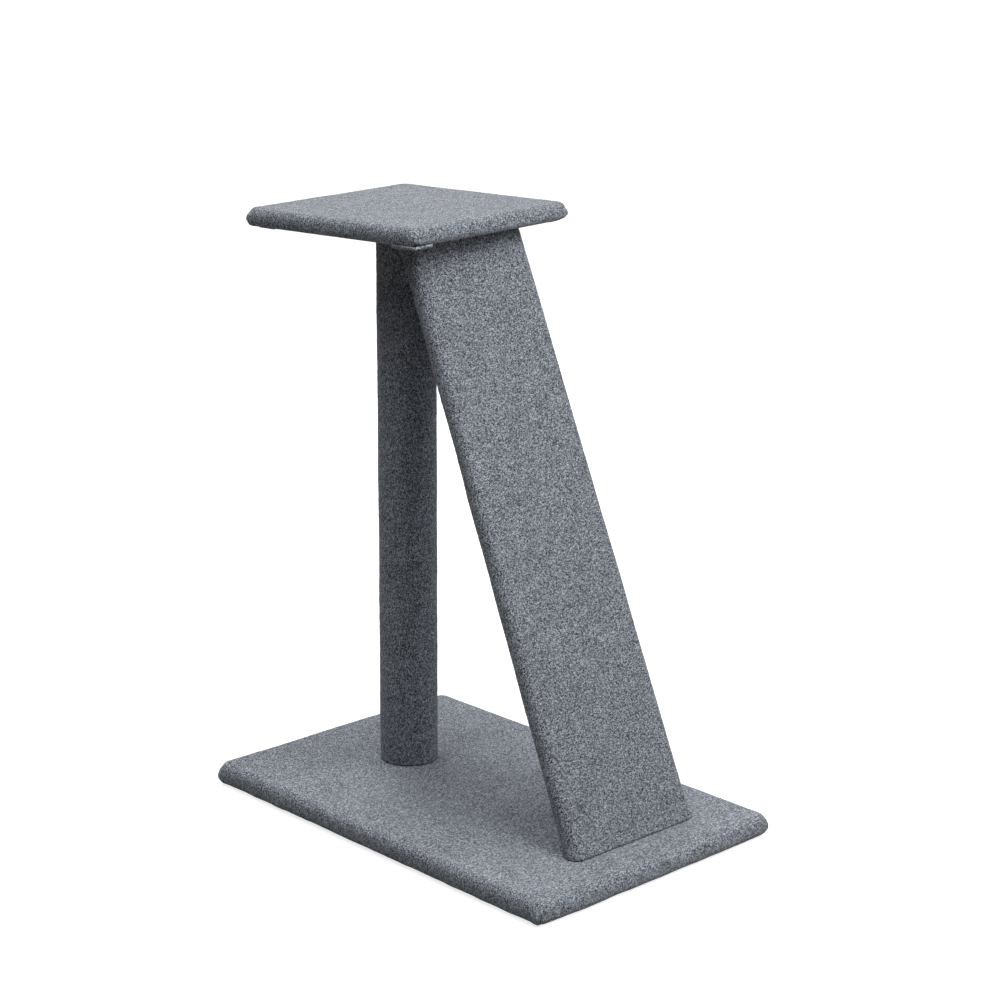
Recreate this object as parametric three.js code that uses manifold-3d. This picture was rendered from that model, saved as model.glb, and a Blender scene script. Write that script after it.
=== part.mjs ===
// Cat tree: a felt-covered base, a round post, a leaning scratching ramp and a top platform.
// X runs across the base, Y along it from the ramp's foot to the post, and Z up.
// The origin is the middle of the base, on the floor. All sizes are in millimetres.

import * as THREE from "three";
import { mergeVertices } from "three/addons/utils/BufferGeometryUtils.js";
import Module from "manifold-3d";

const wasm = await Module();
wasm.setup();

// ---- Driving dimensions ----

const FELT = 2.5; // thickness of the needled felt that covers everything
const GAP = 0.3; // clearance between pieces that touch
const SKIN = FELT + GAP; // depth of a board below its covered face

const BASE_WIDTH = 400;
const BASE_LENGTH = 608;
const BASE_THICKNESS = 30;
const BASE_EDGE_RADIUS = 12;
const BASE_CORNER_RADIUS = 15;
const BASE_HEM = 45; // how far the felt is turned under, from the outer edge

const PLATFORM_WIDTH = 302;
const PLATFORM_DEPTH = 278;
const PLATFORM_THICKNESS = 23;
const PLATFORM_EDGE_RADIUS = 10;
const PLATFORM_CORNER_RADIUS = 16;
const PLATFORM_UNDERSIDE = 734; // height of its lowest face above the floor
const PLATFORM_X = 4;
const PLATFORM_Y = 147;
const PLATFORM_TURN = THREE.MathUtils.degToRad(8); // it is bolted on slightly turned
const PLATFORM_HEM = 34;

const POST_DIAMETER = 75;
const POST_X = -1;
const POST_Y = 147;
const TUBE_WALL = 5;
const PLUG_THICKNESS = 18;
const SEAM = 1; // width of the butt seam where a sleeve's two edges meet

const RAMP_FOOT_WIDTH = 206;
const RAMP_HEAD_WIDTH = 188;
const RAMP_THICKNESS = 24.6;
const RAMP_EDGE_RADIUS = 11;
const RAMP_X = 18;
const RAMP_FOOT_Y = -247.5; // front face where it meets the top of the base
const RAMP_HEAD_Y = 59; // front face at the height of the platform's underside

const BOLT_RADIUS = 4;
const BOLT_HEAD = { acrossCorners: 15, height: 5.3 };
const BOLT_LENGTH = 40;
const STUD_LENGTH = 34;
const BOLT_WASHER = { inner: 4.3, outer: 12, thickness: 1.6 };
const T_NUT = { bore: 4.3, barrel: 5.5, barrelLength: 12, flange: 10, flangeThickness: 1.5 };

const RAMP_SCREW = { shank: 2.2, length: 58, head: 5, headHeight: 3 };
const RAMP_SCREW_WASHER = { inner: 2.5, outer: 6.2, thickness: 1.2 };
const RAMP_SCREW_OFFSET = 60; // each side of the ramp's middle
const RAMP_SCREW_HEAD_DEPTH = 23; // from the foot of the front face down to the head, along the ramp

const BRACKET_WIDTH = 20;
const BRACKET_LEG = 38;
const BRACKET_PLATE = 2;
const BRACKET_OFFSET = 75; // each side of the ramp's middle
const BRACKET_HOLE_AT = 25; // from the bend to the hole in each leg
const BRACKET_SCREW = { shank: 1.8, length: 13, head: 4, headHeight: 2.2 };

const STAPLE_WIDTH = 11;
const STAPLE_LEG = 9;
const STAPLE_WIRE = 1.1;
const STAPLE_SINK = 0.4; // the crown is pulled this far into the felt
const STAPLE_INSET = 30; // from the outer edge to the row of staples

const ROUND_STEPS = 16; // sides of a small turned piece
const POST_STEPS = 48; // sides of the post
const CORNER_STEPS = 3; // three.js doubles this on each quarter of an outline
const EDGE_STEPS = 3; // facets across a rounded edge

// ---- Sizes that follow from them ----

const POST_RADIUS = POST_DIAMETER / 2;
const TUBE_RADIUS = POST_RADIUS - SKIN;
const TUBE_BORE = TUBE_RADIUS - TUBE_WALL;
const POST_FOOT = BASE_THICKNESS + GAP;
const BOARD_UNDERSIDE = PLATFORM_UNDERSIDE + SKIN; // bare board under the platform
const POST_HEAD = BOARD_UNDERSIDE - GAP;
const PLATFORM_TOP = PLATFORM_UNDERSIDE + PLATFORM_THICKNESS;
const RAMP_LEAN = Math.atan2(RAMP_HEAD_Y - RAMP_FOOT_Y, PLATFORM_UNDERSIDE - BASE_THICKNESS);
const RAMP_REACH = (PLATFORM_UNDERSIDE - BASE_THICKNESS) / Math.cos(RAMP_LEAN);
const RAMP_NARROWING = (RAMP_FOOT_WIDTH - RAMP_HEAD_WIDTH) / 2 / RAMP_REACH; // on each side
const RAMP_OVERRUN = 40; // extra length of the ramp's blank before its ends are sawn level
const BOLT_RECESS_ROOF = 11.8; // height of the roof of the recess for the post bolt's head
const RAMP_RECESS_ROOF = RAMP_SCREW_WASHER.thickness + 2 * GAP - RAMP_SCREW_HEAD_DEPTH;

// ---- Materials ----

function finish(colour, roughness, metalness = 0) {
  return new THREE.MeshStandardMaterial({ color: colour, roughness, metalness });
}

const feltMaterial = () => finish(0x7c8088, 0.95);
const chipboardMaterial = () => finish(0xc3a57c, 0.85);
const plugMaterial = () => finish(0xb98f5f, 0.8);
const cardboardMaterial = () => finish(0xa78358, 0.9);
const steelMaterial = () => finish(0xb8bbbf, 0.35, 1);

// ---- Solids ----

function toSolid(geometry) {
  const bare = geometry.index ? geometry.toNonIndexed() : geometry.clone();
  bare.deleteAttribute("normal");
  bare.deleteAttribute("uv");
  const merged = mergeVertices(bare, 1e-4);
  const vertProperties = merged.attributes.position.array;
  const triVerts = new Uint32Array(merged.index.array);
  return new wasm.Manifold(new wasm.Mesh({ numProp: 3, vertProperties, triVerts }));
}

function toGeometry(solid) {
  const { vertProperties, triVerts } = solid.getMesh();
  const geometry = new THREE.BufferGeometry();
  geometry.setAttribute("position", new THREE.BufferAttribute(vertProperties, 3));
  geometry.setIndex(new THREE.BufferAttribute(triVerts, 1));
  geometry.computeVertexNormals();
  return geometry;
}

function cut(geometry, tools) {
  const cutters = tools.map(toSolid);
  return toGeometry(cutters.reduce((solid, tool) => solid.subtract(tool), toSolid(geometry)));
}

function roundedOutline(width, length, radius) {
  const x = width / 2 - radius;
  const y = length / 2 - radius;
  const quarter = Math.PI / 2;
  const outline = new THREE.Shape();
  outline.absarc(x, y, radius, 0, quarter);
  outline.absarc(-x, y, radius, quarter, 2 * quarter);
  outline.absarc(-x, -y, radius, 2 * quarter, 3 * quarter);
  outline.absarc(x, -y, radius, 3 * quarter, 4 * quarter);
  outline.closePath();
  return outline;
}

// A panel lying flat on z = 0 with rounded corners and rounded edges.
function roundedPanel(width, length, thickness, cornerRadius, edgeRadius) {
  const inner = [width - 2 * edgeRadius, length - 2 * edgeRadius, cornerRadius - edgeRadius];
  const panel = new THREE.ExtrudeGeometry(roundedOutline(...inner), {
    depth: thickness - 2 * edgeRadius,
    bevelThickness: edgeRadius,
    bevelSize: edgeRadius,
    bevelSegments: EDGE_STEPS,
    curveSegments: CORNER_STEPS,
  });
  return panel.translate(0, 0, edgeRadius);
}

// The panel that lies a given depth inside another one.
function insetPanel(width, length, thickness, cornerRadius, edgeRadius, depth) {
  const sizes = [width, length, thickness].map((size) => size - 2 * depth);
  const radii = [cornerRadius, edgeRadius].map((radius) => radius - depth);
  return roundedPanel(...sizes, ...radii).translate(0, 0, depth);
}

// Cuts the turned-under felt back to its hem.
function undersideOpening(width, length) {
  const opening = new THREE.BoxGeometry(width, length, 2 * FELT);
  return opening.translate(0, 0, FELT / 2);
}

function rod(radius, bottom, top, x = 0, y = 0) {
  const cylinder = new THREE.CylinderGeometry(radius, radius, top - bottom, ROUND_STEPS);
  return cylinder.rotateX(Math.PI / 2).translate(x, y, (top + bottom) / 2);
}

function ring(inner, outer, bottom, top, steps = ROUND_STEPS) {
  const profile = [
    new THREE.Vector2(inner, bottom),
    new THREE.Vector2(outer, bottom),
    new THREE.Vector2(outer, top),
    new THREE.Vector2(inner, top),
    new THREE.Vector2(inner, bottom),
  ];
  return new THREE.LatheGeometry(profile, steps).rotateX(Math.PI / 2);
}

function named(name, geometry, material, x = 0, y = 0, z = 0) {
  const mesh = new THREE.Mesh(geometry, material);
  mesh.name = name;
  mesh.position.set(x, y, z);
  return mesh;
}

// ---- Fasteners ----

function tNut() {
  const { bore, barrel, barrelLength, flange, flangeThickness } = T_NUT;
  const profile = [
    new THREE.Vector2(bore, -barrelLength),
    new THREE.Vector2(barrel, -barrelLength),
    new THREE.Vector2(barrel, 0),
    new THREE.Vector2(flange, 0),
    new THREE.Vector2(flange, flangeThickness),
    new THREE.Vector2(bore, flangeThickness),
    new THREE.Vector2(bore, -barrelLength),
  ];
  return new THREE.LatheGeometry(profile, ROUND_STEPS).rotateX(Math.PI / 2);
}

// A hexagon bolt with the underside of its head at z = 0 and its shank pointing up.
function hexBolt() {
  const head = new THREE.CylinderGeometry(
    BOLT_HEAD.acrossCorners / 2,
    BOLT_HEAD.acrossCorners / 2,
    BOLT_HEAD.height,
    6,
  );
  head.rotateX(Math.PI / 2).translate(0, 0, -BOLT_HEAD.height / 2);
  const shank = rod(BOLT_RADIUS, -BOLT_HEAD.height / 2, BOLT_LENGTH);
  return toGeometry(toSolid(head).add(toSolid(shank)));
}

// A pan-head wood screw with the underside of its head at z = 0 and its point up.
function woodScrew({ shank, length, head, headHeight }) {
  const dome = headHeight * 0.45;
  const profile = [
    new THREE.Vector2(0, -headHeight),
    new THREE.Vector2(head * 0.62, -headHeight),
    new THREE.Vector2(head, -dome),
    new THREE.Vector2(head, 0),
    new THREE.Vector2(shank, 0),
    new THREE.Vector2(shank, length - 3 * shank),
    new THREE.Vector2(0, length),
  ];
  return new THREE.LatheGeometry(profile, ROUND_STEPS).rotateX(Math.PI / 2);
}

// A staple with its crown's lower face at z = 0 and its legs pointing up; grow widens it into
// the slot it sits in, and drop takes that slot down through the face of the felt.
function staple(grow = 0, drop = 0) {
  const outer = STAPLE_WIDTH / 2 + grow;
  const inner = STAPLE_WIDTH / 2 - STAPLE_WIRE - grow;
  const outline = new THREE.Shape([
    new THREE.Vector2(-outer, -drop),
    new THREE.Vector2(outer, -drop),
    new THREE.Vector2(outer, STAPLE_LEG + grow),
    new THREE.Vector2(inner, STAPLE_LEG + grow),
    new THREE.Vector2(inner, STAPLE_WIRE + grow),
    new THREE.Vector2(-inner, STAPLE_WIRE + grow),
    new THREE.Vector2(-inner, STAPLE_LEG + grow),
    new THREE.Vector2(-outer, STAPLE_LEG + grow),
  ]);
  const wire = STAPLE_WIRE + 2 * grow;
  const geometry = new THREE.ExtrudeGeometry(outline, { depth: wire, bevelEnabled: false });
  return geometry.translate(0, 0, -wire / 2).rotateX(Math.PI / 2);
}

// Where the staples sit round a panel's hem: rows beside each edge, evenly spaced.
function stapleRows(width, length, alongX, alongY) {
  const places = [];
  const spread = (count, span) =>
    Array.from({ length: count }, (_, i) => ((i + 0.5) / count - 0.5) * (span - 2 * STAPLE_INSET));
  for (const side of [-1, 1]) {
    for (const x of spread(alongX, width)) {
      places.push({ x, y: side * (length / 2 - STAPLE_INSET), turn: 0 });
    }
    for (const y of spread(alongY, length)) {
      places.push({ x: side * (width / 2 - STAPLE_INSET), y, turn: Math.PI / 2 });
    }
  }
  return places;
}

function stapleSlots(places) {
  return places.map(({ x, y, turn }) => staple(GAP, 1).rotateZ(turn).translate(x, y, STAPLE_SINK));
}

function stapleMeshes(prefix, places) {
  return places.map(({ x, y, turn }, i) => {
    const name = `${prefix}_staple_${String(i + 1).padStart(2, "0")}`;
    const mesh = named(name, staple(), steelMaterial(), x, y, STAPLE_SINK);
    mesh.rotation.z = turn;
    return mesh;
  });
}

// ---- Ramp frame: x across, y from its front face to its back face, z up along it ----

const rampFrame = new THREE.Matrix4()
  .makeTranslation(RAMP_X, RAMP_FOOT_Y, BASE_THICKNESS)
  .multiply(new THREE.Matrix4().makeRotationX(-RAMP_LEAN));
const rampScrewSides = { left: -RAMP_SCREW_OFFSET, right: RAMP_SCREW_OFFSET };
const bracketSides = { left: -BRACKET_OFFSET, right: BRACKET_OFFSET };

// A rod along the ramp on the line of each foot screw.
function rampScrewRods(radius, bottom, top) {
  const lines = Object.values(rampScrewSides);
  return lines.map((x) => rod(radius, bottom, top, x, RAMP_THICKNESS / 2).applyMatrix4(rampFrame));
}

// ---- Base ----

const baseSizes = [BASE_WIDTH, BASE_LENGTH, BASE_THICKNESS, BASE_CORNER_RADIUS, BASE_EDGE_RADIUS];
const baseStaples = stapleRows(BASE_WIDTH, BASE_LENGTH, 2, 3);

function baseBoard() {
  return cut(insetPanel(...baseSizes, SKIN), [
    rod(BOLT_RADIUS + 0.5, 0, BASE_THICKNESS, POST_X, POST_Y),
    rod(BOLT_WASHER.outer + 2, 0, BOLT_RECESS_ROOF, POST_X, POST_Y),
    ...rampScrewRods(RAMP_SCREW.shank + 0.6, -RAMP_OVERRUN, RAMP_OVERRUN),
    ...rampScrewRods(RAMP_SCREW_WASHER.outer + GAP, -RAMP_OVERRUN, RAMP_RECESS_ROOF),
    ...stapleSlots(baseStaples),
  ]);
}

function baseCover() {
  return cut(roundedPanel(...baseSizes), [
    insetPanel(...baseSizes, FELT),
    undersideOpening(BASE_WIDTH - 2 * BASE_HEM, BASE_LENGTH - 2 * BASE_HEM),
    rod(BOLT_RADIUS + 0.5, BASE_THICKNESS / 2, BASE_THICKNESS + 1, POST_X, POST_Y),
    ...rampScrewRods(RAMP_SCREW.shank + 0.6, 0, RAMP_OVERRUN),
    ...stapleSlots(baseStaples),
  ]);
}

function makeBase() {
  const group = new THREE.Group();
  const { inner, outer, thickness } = BOLT_WASHER;
  const washerTop = BOLT_RECESS_ROOF - GAP;
  const headSeat = washerTop - thickness - GAP;
  const washer = ring(inner, outer, washerTop - thickness, washerTop);
  group.add(
    named("base_board", baseBoard(), chipboardMaterial()),
    named("base_cover", baseCover(), feltMaterial()),
    named("post_bolt", hexBolt(), steelMaterial(), POST_X, POST_Y, headSeat),
    named("post_bolt_washer", washer, steelMaterial(), POST_X, POST_Y),
    ...stapleMeshes("base", baseStaples),
  );
  return group;
}

// ---- Post ----

function postCover() {
  const sleeve = ring(POST_RADIUS - FELT, POST_RADIUS, POST_FOOT, POST_HEAD, POST_STEPS);
  const seam = new THREE.BoxGeometry(SEAM, 2 * FELT, POST_HEAD);
  return cut(sleeve, [seam.translate(0, POST_RADIUS - FELT / 2, POST_HEAD / 2 + POST_FOOT / 2)]);
}

function postPlug(bottom) {
  return ring(T_NUT.barrel + GAP, TUBE_BORE - GAP, bottom, bottom + PLUG_THICKNESS, POST_STEPS);
}

function makePost() {
  const group = new THREE.Group();
  group.position.set(POST_X, POST_Y, 0);
  const tube = ring(TUBE_BORE, TUBE_RADIUS, POST_FOOT, POST_HEAD, POST_STEPS);
  const footPlugTop = POST_FOOT + PLUG_THICKNESS;
  const headPlugBottom = POST_HEAD - PLUG_THICKNESS;
  const headNut = named("post_head_t_nut", tNut(), steelMaterial(), 0, 0, headPlugBottom - GAP);
  headNut.rotation.x = Math.PI;
  group.add(
    named("post_tube", tube, cardboardMaterial()),
    named("post_cover", postCover(), feltMaterial()),
    named("post_foot_plug", postPlug(POST_FOOT), plugMaterial()),
    named("post_head_plug", postPlug(headPlugBottom), plugMaterial()),
    named("post_foot_t_nut", tNut(), steelMaterial(), 0, 0, footPlugTop + GAP),
    headNut,
  );
  return group;
}

// ---- Platform ----

const platformSizes = [
  PLATFORM_WIDTH,
  PLATFORM_DEPTH,
  PLATFORM_THICKNESS,
  PLATFORM_CORNER_RADIUS,
  PLATFORM_EDGE_RADIUS,
];
const platformStaples = stapleRows(PLATFORM_WIDTH, PLATFORM_DEPTH, 2, 2);
const platformFrame = new THREE.Matrix4()
  .makeTranslation(PLATFORM_X, PLATFORM_Y, PLATFORM_UNDERSIDE)
  .multiply(new THREE.Matrix4().makeRotationZ(PLATFORM_TURN));

// Screw holes in the underside for the legs of the brackets, radius by depth.
function bracketHoles(radius) {
  const { y } = bracketPoints(BRACKET_HOLE_AT).upper;
  const top = BOARD_UNDERSIDE + BRACKET_SCREW.length;
  const hole = (x) => rod(radius, PLATFORM_UNDERSIDE, top, RAMP_X + x, y);
  return Object.values(bracketSides).map(hole);
}

function platformBoard() {
  const top = PLATFORM_TOP - SKIN;
  const board = cut(insetPanel(...platformSizes, SKIN), stapleSlots(platformStaples));
  return cut(board.applyMatrix4(platformFrame), [
    rod(T_NUT.barrel + GAP, PLATFORM_UNDERSIDE, PLATFORM_TOP, POST_X, POST_Y),
    rod(T_NUT.flange + GAP, top - T_NUT.flangeThickness - 2 * GAP, PLATFORM_TOP, POST_X, POST_Y),
    ...bracketHoles(BRACKET_SCREW.shank + GAP),
  ]);
}

function platformCover() {
  const felt = cut(roundedPanel(...platformSizes), [
    insetPanel(...platformSizes, FELT),
    undersideOpening(PLATFORM_WIDTH - 2 * PLATFORM_HEM, PLATFORM_DEPTH - 2 * PLATFORM_HEM),
    ...stapleSlots(platformStaples),
  ]);
  return felt.applyMatrix4(platformFrame);
}

function makePlatform() {
  const group = new THREE.Group();
  const flangeSeat = PLATFORM_TOP - SKIN - T_NUT.flangeThickness - GAP;
  const studFoot = POST_HEAD - PLUG_THICKNESS - 2;
  const stud = rod(BOLT_RADIUS, studFoot, studFoot + STUD_LENGTH);
  const staples = new THREE.Group();
  staples.applyMatrix4(platformFrame);
  staples.add(...stapleMeshes("platform", platformStaples));
  group.add(
    named("platform_board", platformBoard(), chipboardMaterial()),
    named("platform_cover", platformCover(), feltMaterial()),
    named("platform_t_nut", tNut(), steelMaterial(), POST_X, POST_Y, flangeSeat),
    named("platform_stud", stud, steelMaterial(), POST_X, POST_Y),
    staples,
  );
  return group;
}

// ---- Ramp ----

// Draws the sides of a blank together towards its head.
function narrowed(blank) {
  const places = blank.attributes.position;
  for (let i = 0; i < places.count; i += 1) {
    const x = places.getX(i);
    places.setX(i, x - Math.sign(x) * RAMP_NARROWING * places.getZ(i));
  }
  return blank;
}

// A blank that is longer than the ramp, a given depth inside its outer faces.
function rampBlank(depth) {
  const width = RAMP_FOOT_WIDTH - 2 * depth;
  const outline = roundedOutline(width, RAMP_THICKNESS - 2 * depth, RAMP_EDGE_RADIUS - depth);
  const length = RAMP_REACH + 2 * RAMP_OVERRUN;
  const blank = new THREE.ExtrudeGeometry(outline, {
    depth: length,
    bevelEnabled: false,
    curveSegments: CORNER_STEPS,
  });
  blank.translate(0, RAMP_THICKNESS / 2, -RAMP_OVERRUN);
  return narrowed(blank).applyMatrix4(rampFrame);
}

// Saws a blank's ends level with the base and the platform.
function sawnLevel(solid) {
  const height = POST_HEAD - POST_FOOT;
  const slab = new THREE.BoxGeometry(2 * BASE_WIDTH, 2 * BASE_LENGTH, height);
  return toGeometry(solid.intersect(toSolid(slab.translate(0, 0, POST_FOOT + height / 2))));
}

// A rod square to the ramp's back face through the hole of each bracket.
function bracketRods(radius) {
  const { z } = bracketPoints(BRACKET_HOLE_AT).lower;
  const depth = BRACKET_SCREW.length;
  return Object.values(bracketSides).map((x) => {
    const hole = rod(radius, RAMP_THICKNESS - depth, RAMP_THICKNESS + 1);
    return hole.rotateX(-Math.PI / 2).translate(x, 0, z).applyMatrix4(rampFrame);
  });
}

function rampBoard() {
  return cut(sawnLevel(toSolid(rampBlank(SKIN))), [
    ...rampScrewRods(RAMP_SCREW.shank + GAP, 0, RAMP_SCREW.length),
    ...bracketRods(BRACKET_SCREW.shank + GAP),
  ]);
}

function rampCover() {
  const seam = new THREE.BoxGeometry(SEAM, 2 * FELT, 2 * RAMP_REACH);
  seam.translate(0, RAMP_THICKNESS - FELT / 2, RAMP_REACH / 2).applyMatrix4(rampFrame);
  const sleeve = toSolid(rampBlank(0)).subtract(toSolid(rampBlank(FELT)));
  return cut(sawnLevel(sleeve), [seam, ...bracketRods(BRACKET_SCREW.shank + GAP)]);
}

// The bracket's bend lies where the ramp's back face meets the bare board of the platform.
// Gives the point of each leg a given way from the bend: the upper one in the part's frame,
// the lower one in the ramp's frame.
function bracketPoints(distance) {
  const topOfLeg = BOARD_UNDERSIDE - GAP;
  const back = RAMP_THICKNESS + GAP;
  const reach = (topOfLeg - BASE_THICKNESS + back * Math.sin(RAMP_LEAN)) / Math.cos(RAMP_LEAN);
  const bend = new THREE.Vector3(0, back, reach).applyMatrix4(rampFrame);
  return {
    upper: { y: bend.y + distance, z: topOfLeg },
    lower: { y: back, z: reach - distance },
  };
}

// A strip bent to the angle between the ramp's back and the platform, in the part's YZ plane.
function bracket(x) {
  const { upper, lower } = bracketPoints(BRACKET_LEG);
  const bend = bracketPoints(0).upper;
  const inFrame = (y, z) => new THREE.Vector3(0, y, z).applyMatrix4(rampFrame);
  const legEnd = inFrame(lower.y, lower.z);
  const legEndInner = inFrame(lower.y + BRACKET_PLATE, lower.z);
  const mitre = BRACKET_PLATE * Math.tan((Math.PI / 2 - RAMP_LEAN) / 2);
  const outline = new THREE.Shape([
    new THREE.Vector2(bend.y, bend.z),
    new THREE.Vector2(legEnd.y, legEnd.z),
    new THREE.Vector2(legEndInner.y, legEndInner.z),
    new THREE.Vector2(bend.y + mitre, bend.z - BRACKET_PLATE),
    new THREE.Vector2(upper.y, upper.z - BRACKET_PLATE),
    new THREE.Vector2(upper.y, upper.z),
  ]);
  const strip = new THREE.ExtrudeGeometry(outline, { depth: BRACKET_WIDTH, bevelEnabled: false });
  // The outline's own x and y become the part's Y and Z, and the strip's length becomes X.
  const toPart = new THREE.Matrix4().set(0, 0, 1, 0, 1, 0, 0, 0, 0, 1, 0, 0, 0, 0, 0, 1);
  strip.applyMatrix4(toPart).translate(RAMP_X + x - BRACKET_WIDTH / 2, 0, 0);
  const clear = BRACKET_SCREW.shank + GAP;
  const upperHole = bracketPoints(BRACKET_HOLE_AT).upper;
  const lowerHole = bracketPoints(BRACKET_HOLE_AT).lower;
  return cut(strip, [
    rod(clear, upperHole.z - 2 * BRACKET_PLATE, upperHole.z + 1, RAMP_X + x, upperHole.y),
    rod(clear, lowerHole.y - 1, lowerHole.y + 2 * BRACKET_PLATE)
      .rotateX(-Math.PI / 2)
      .translate(x, 0, lowerHole.z)
      .applyMatrix4(rampFrame),
  ]);
}

function makeBrackets() {
  const group = new THREE.Group();
  const seat = BRACKET_PLATE + GAP;
  const { upper, lower } = bracketPoints(BRACKET_HOLE_AT);
  for (const [side, x] of Object.entries(bracketSides)) {
    const screws = new THREE.Group();
    screws.applyMatrix4(rampFrame);
    const rampScrew = named(
      `bracket_screw_ramp_${side}`,
      woodScrew(BRACKET_SCREW),
      steelMaterial(),
      x,
      lower.y + seat,
      lower.z,
    );
    rampScrew.rotation.x = Math.PI / 2;
    screws.add(rampScrew);
    const boardScrew = named(
      `bracket_screw_platform_${side}`,
      woodScrew(BRACKET_SCREW),
      steelMaterial(),
      RAMP_X + x,
      upper.y,
      upper.z - seat,
    );
    group.add(named(`bracket_${side}`, bracket(x), steelMaterial()), screws, boardScrew);
  }
  return group;
}

function makeRampScrews() {
  const group = new THREE.Group();
  group.applyMatrix4(rampFrame);
  const { inner, outer, thickness } = RAMP_SCREW_WASHER;
  for (const [side, x] of Object.entries(rampScrewSides)) {
    const middle = RAMP_THICKNESS / 2;
    const seat = -RAMP_SCREW_HEAD_DEPTH;
    const washer = ring(inner, outer, GAP, GAP + thickness);
    group.add(
      named(`ramp_screw_${side}`, woodScrew(RAMP_SCREW), steelMaterial(), x, middle, seat),
      named(`ramp_screw_washer_${side}`, washer, steelMaterial(), x, middle, seat),
    );
  }
  return group;
}

function makeRamp() {
  const group = new THREE.Group();
  group.add(
    named("ramp_board", rampBoard(), chipboardMaterial()),
    named("ramp_cover", rampCover(), feltMaterial()),
    makeRampScrews(),
    makeBrackets(),
  );
  return group;
}

const catTree = new THREE.Group();
catTree.add(makeBase(), makePost(), makePlatform(), makeRamp());

export default catTree;
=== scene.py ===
"""A felt-covered cat tree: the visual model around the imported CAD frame.

The four felt covers are built here as fine meshes that stand for the CAD's plain ones, and the
CAD's boards, tube, plugs and fasteners keep their shapes and get better materials. Everything
is in metres, in the CAD's frame: X across the base, Y along it from the ramp's foot, Z up.
"""

import math

import bpy
import numpy as np
from mathutils import Matrix, Vector


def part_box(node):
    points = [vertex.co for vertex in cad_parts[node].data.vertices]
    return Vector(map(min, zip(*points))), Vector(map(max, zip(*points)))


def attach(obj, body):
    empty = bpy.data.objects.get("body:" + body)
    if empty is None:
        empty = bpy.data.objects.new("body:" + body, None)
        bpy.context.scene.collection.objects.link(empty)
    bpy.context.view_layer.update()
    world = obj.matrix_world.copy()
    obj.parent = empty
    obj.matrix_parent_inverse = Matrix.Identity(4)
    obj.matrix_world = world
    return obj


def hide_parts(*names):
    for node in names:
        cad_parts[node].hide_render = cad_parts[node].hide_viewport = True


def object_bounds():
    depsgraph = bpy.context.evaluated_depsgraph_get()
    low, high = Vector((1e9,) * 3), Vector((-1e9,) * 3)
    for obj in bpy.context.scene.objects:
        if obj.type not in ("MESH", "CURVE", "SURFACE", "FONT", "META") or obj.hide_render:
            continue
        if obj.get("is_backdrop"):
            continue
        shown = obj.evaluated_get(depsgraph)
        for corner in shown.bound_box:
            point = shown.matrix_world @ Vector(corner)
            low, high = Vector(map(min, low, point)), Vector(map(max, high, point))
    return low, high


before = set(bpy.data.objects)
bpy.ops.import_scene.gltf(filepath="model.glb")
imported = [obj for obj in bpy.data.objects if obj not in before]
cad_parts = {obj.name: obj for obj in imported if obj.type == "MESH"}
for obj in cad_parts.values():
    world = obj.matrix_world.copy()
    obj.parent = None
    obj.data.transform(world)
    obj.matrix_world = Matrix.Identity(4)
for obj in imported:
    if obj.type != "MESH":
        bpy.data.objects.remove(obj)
cad_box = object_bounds()

MM = 0.001

# ---- Felt ----

FELT = 2.5 * MM  # thickness of the felt
SEAM = 1.0 * MM  # gap of a butt seam, where a sleeve's two edges meet
UNDULATION = 0.35 * MM  # how far the felt wanders from a true flat over a hand's width
UNDULATION_LENGTH = 110 * MM
RIPPLE = 0.12 * MM  # its lumps the size of a fingertip
RIPPLE_LENGTH = 21 * MM
FUZZ = 0.10 * MM  # roughness of the felt's own surface
FUZZ_LIMIT = 2.5  # how many times that its tallest points stand out
THINNEST = 0.7 * MM  # what is left of the felt's thickness where it is pulled in or slit
SEAM_LIP = 0.5 * MM  # how far the felt's cut edges curl up beside a seam
SEAM_LIP_WIDTH = 4 * MM
SEAM_PAINTED_SHADE = 0.6  # how dark the shade painted into the seam is, from 0 to 1

# ---- Covered panels ----

BASE_CORNER = 15 * MM  # plan radius of the base's corners
BASE_EDGE = 12 * MM  # radius of its edges
BASE_HEM = 45 * MM  # how far the felt is turned under
BASE_SLIT_TOP = 0.62  # how far up a corner its slit runs, as a share of the height
BASE_STEP = 3.4 * MM  # spacing of the mesh's points
BASE_SEED = 11
PLATFORM_CORNER = 16 * MM
PLATFORM_EDGE = 10 * MM
PLATFORM_HEM = 34 * MM
PLATFORM_SLIT_TOP = 0.15
PLATFORM_STEP = 2.6 * MM
PLATFORM_SEED = 21
CORNER_STEP = 0.55  # the spacing near a corner and up the sides, as shares of the panel's
SIDE_STEP = 0.8
# The exponent of each corner's outline in plan, by its sides in X and Y: 2 is round, more is
# sharper and less is blunter.
BASE_SHARPNESS = {(-1, -1): 2.5, (1, -1): 2.6, (-1, 1): 2.4, (1, 1): 3.4}
PLATFORM_SHARPNESS = {(-1, -1): 2.6, (1, -1): 1.7, (-1, 1): 2.3, (1, 1): 2.6}
WAIST = 0.38  # the share of a panel's height where its corners are sharpest
WAIST_SPREAD = 0.3
WAIST_SHARPNESS = 1.2  # how much the exponent rises there, and at most falls at top and foot
LEAST_SHARPNESS = 1.5  # the lowest exponent
EDGE_WANDER = 0.5 * MM  # how far the folded lower edge strays from a straight line
EDGE_WANDER_LENGTH = 35 * MM
EDGE_FACING = -0.6  # the upward part of the normal at the middle of that edge
EDGE_SPREAD = 0.5
UNDERSIDE_CALM = 0.8  # how much of the felt's unevenness is pressed out underneath
UNDERSIDE_POWER = 4  # how sharply the underside begins as the felt turns under
SLIT_DEPTH = 1.8 * MM  # where the felt is cut at a corner and its edges meet
SLIT_WIDTH = 1.3 * MM
SLIT_FADE = 4 * MM  # how far the slit takes to end
SLIT_PUCKER = 1.7 * MM  # how far the felt bulges beside the slit, round from it to the X side
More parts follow.
